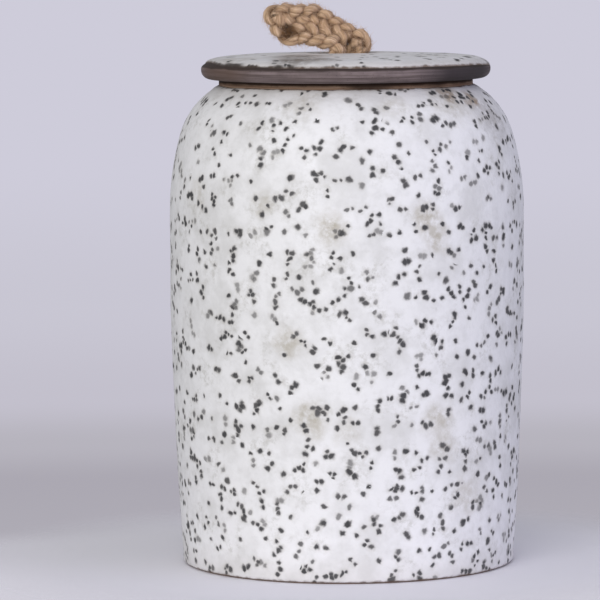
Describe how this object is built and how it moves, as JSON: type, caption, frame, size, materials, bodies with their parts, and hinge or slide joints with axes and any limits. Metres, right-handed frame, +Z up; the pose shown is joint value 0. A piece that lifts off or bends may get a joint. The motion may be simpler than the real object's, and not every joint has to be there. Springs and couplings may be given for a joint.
{
  "type": "ceramic storage jar",
  "caption": "Hollow stoneware storage jar with a rounded shoulder and a narrower mouth, closed by a sealed plug lid that lifts off by a plaited rope loop.",
  "frame": {"origin": "centre of the foot ring, on the surface that the jar stands on", "axes": "+Z up along the jar's axis, +X along the line of the lid's two rope holes and away from the side that the rope loop leans to, +Y to the back"},
  "size_m": [0.12, 0.12, 0.1909],
  "materials": {
    "jar_stoneware": "satin white glaze with dark iron specks, bare brown clay at the rim and foot",
    "lid_stoneware": "satin white glaze with dark iron specks on top, bare brown clay on the edge and below",
    "silicone": "matte translucent white",
    "jute_rope": "plaited natural jute"
  },
  "bodies": {
    "jar": {"jar_body": "jar_stoneware"},
    "seal": {"seal_ring": "silicone"},
    "lid": {"lid": "lid_stoneware", "rope_knot": "jute_rope"},
    "handle": {"handle_loop": "jute_rope"}
  },
  "joints": [
    {"name": "lid_lift", "type": "slide", "parent": "jar", "child": "seal", "axis": [0, 0, 1], "range_m": [0, 0.12]},
    {"name": "lid_turn", "type": "hinge", "parent": "seal", "child": "lid", "pos_m": [0, 0, 0.1652], "axis": [0, 0, 1], "continuous": true},
    {"name": "handle_tilt", "type": "hinge", "parent": "lid", "child": "handle", "pos_m": [0, 0, 0.17671], "axis": [1, 0, 0], "range_deg": [-90, 90]}
  ]
}
